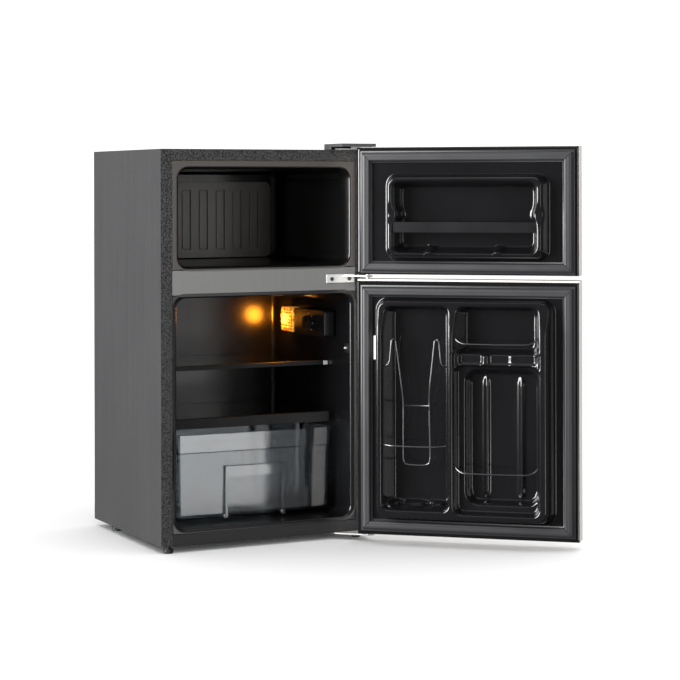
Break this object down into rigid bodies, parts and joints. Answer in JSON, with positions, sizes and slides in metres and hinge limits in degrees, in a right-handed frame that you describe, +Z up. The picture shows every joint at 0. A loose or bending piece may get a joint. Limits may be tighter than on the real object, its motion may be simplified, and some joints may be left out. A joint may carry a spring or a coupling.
{
  "type": "compact two-door refrigerator",
  "caption": "Free-standing compact refrigerator with a separate upper freezer, two right-hinged doors, glass shelves, a clear crisper drawer and a moulded door liner with wire racks.",
  "frame": {"origin": "on the floor, under the middle of the outline that the object fills with both doors open as stored", "axes": "+Z up, the doors and shelves face -Y, the hinges are on the +X side"},
  "size_m": [0.8172, 0.7844, 0.8527],
  "materials": {
    "cabinet_paint": "satin, finely textured",
    "rail_paint": "satin",
    "galvanised": "dull",
    "matt_black": "matt",
    "compressor_paint": "semi-gloss",
    "foam": "matt, foamed",
    "freezer_plastic": "gloss",
    "evaporator_metal": "satin",
    "gloss_black": "gloss",
    "copper": "polished",
    "amber": "gloss, lit from behind",
    "lamp_glass": "gloss",
    "clear_plastic": "clear, gloss",
    "shelf_glass": "clear, gloss",
    "silver_plastic": "satin",
    "door_steel": "brushed",
    "gasket_rubber": "satin",
    "foot_rubber": "matt",
    "hinge_steel": "satin",
    "wire_steel": "gloss"
  },
  "bodies": {
    "cabinet": {"outer_shell": "cabinet_paint", "back_panel": "galvanised", "base_pan": "galvanised", "compressor_deck": "galvanised", "mid_rail": "rail_paint", "kick_plate": "matt_black", "rear_top_trim": "matt_black", "cabinet_foam": "foam", "freezer_liner": "freezer_plastic", "fridge_liner": "gloss_black", "freezer_rear_cover": "freezer_plastic", "evaporator_plate": "evaporator_metal", "condenser_coil": "copper", "compressor": "compressor_paint", "compressor_relay_cover": "matt_black", "drip_tray": "matt_black", "cord_clamp": "matt_black", "thermostat_housing": "gloss_black", "lamp_lens": "amber", "lamp_bulb": "lamp_glass", "thermostat": "galvanised", "light_switch_body": "matt_black", "top_hinge_bracket": "hinge_steel", "top_hinge_cover": "rail_paint", "top_hinge_pin": "hinge_steel", "middle_hinge_bracket": "hinge_steel", "middle_hinge_pin": "hinge_steel", "middle_hinge_screw_1": "hinge_steel", "middle_hinge_screw_2": "hinge_steel", "bottom_hinge_bracket": "hinge_steel", "bottom_hinge_pin": "hinge_steel", "rear_left_foot": "foot_rubber", "rear_right_foot": "foot_rubber"},
    "freezer_door": {"freezer_door_skin": "door_steel", "freezer_door_top_cap": "silver_plastic", "freezer_door_bottom_cap": "silver_plastic", "freezer_door_foam": "foam", "freezer_door_liner": "gloss_black", "freezer_door_gasket": "gasket_rubber", "freezer_door_rack_bar": "matt_black"},
    "fridge_door": {"fridge_door_skin": "door_steel", "fridge_door_top_cap": "silver_plastic", "fridge_door_bottom_cap": "silver_plastic", "fridge_door_foam": "foam", "fridge_door_liner": "gloss_black", "fridge_door_gasket": "gasket_rubber", "can_rack_wire": "wire_steel", "can_column_low_wire": "wire_steel", "shelf_bay_wire": "wire_steel", "bottle_bay_wire": "wire_steel", "light_switch_striker": "silver_plastic"},
    "upper_shelf": {"upper_shelf_glass": "shelf_glass", "upper_shelf_trim": "silver_plastic"},
    "crisper_cover": {"crisper_cover_glass": "shelf_glass", "crisper_cover_trim": "gloss_black"},
    "crisper_drawer": {"crisper_drawer": "clear_plastic"},
    "thermostat_knob": {"thermostat_knob": "matt_black"},
    "light_switch_plunger": {"light_switch_plunger": "silver_plastic"},
    "front_left_foot": {"front_left_foot": "foot_rubber"},
    "front_right_foot": {"front_right_foot": "foot_rubber"}
  },
  "joints": [
    {"name": "freezer_door_hinge", "type": "hinge", "parent": "cabinet", "child": "freezer_door", "pos_m": [0.05102, -0.0675, 0.705], "axis": [0, 0, 1], "range_deg": [-139, 11]},
    {"name": "fridge_door_hinge", "type": "hinge", "parent": "cabinet", "child": "fridge_door", "pos_m": [0.05102, -0.0675, 0.29], "axis": [0, 0, 1], "range_deg": [-139, 11]},
    {"name": "upper_shelf_slide", "type": "slide", "parent": "cabinet", "child": "upper_shelf", "axis": [0, -1, 0], "range_m": [0, 0.15]},
    {"name": "crisper_cover_slide", "type": "slide", "parent": "cabinet", "child": "crisper_cover", "axis": [0, -1, 0], "range_m": [0, 0.15]},
    {"name": "crisper_drawer_slide", "type": "slide", "parent": "cabinet", "child": "crisper_drawer", "axis": [0, -1, 0], "range_m": [0, 0.12]},
    {"name": "thermostat_knob_turn", "type": "hinge", "parent": "cabinet", "child": "thermostat_knob", "pos_m": [-0.00558, 0.1222, 0.459], "axis": [-1, 0, 0], "range_deg": [-140, 140]},
    {"name": "light_switch_press", "type": "slide", "parent": "cabinet", "child": "light_switch_plunger", "axis": [1, 0, 0], "range_m": [0, 0.004], "stiffness_N_per_m": 200, "springref_m": -0.002},
    {"name": "front_left_foot_turn", "type": "hinge", "parent": "cabinet", "child": "front_left_foot", "pos_m": [-0.38858, -0.0138, 0.007], "axis": [0, 0, 1], "continuous": true},
    {"name": "front_right_foot_turn", "type": "hinge", "parent": "cabinet", "child": "front_right_foot", "pos_m": [0.04742, -0.0138, 0.007], "axis": [0, 0, 1], "continuous": true}
  ]
}
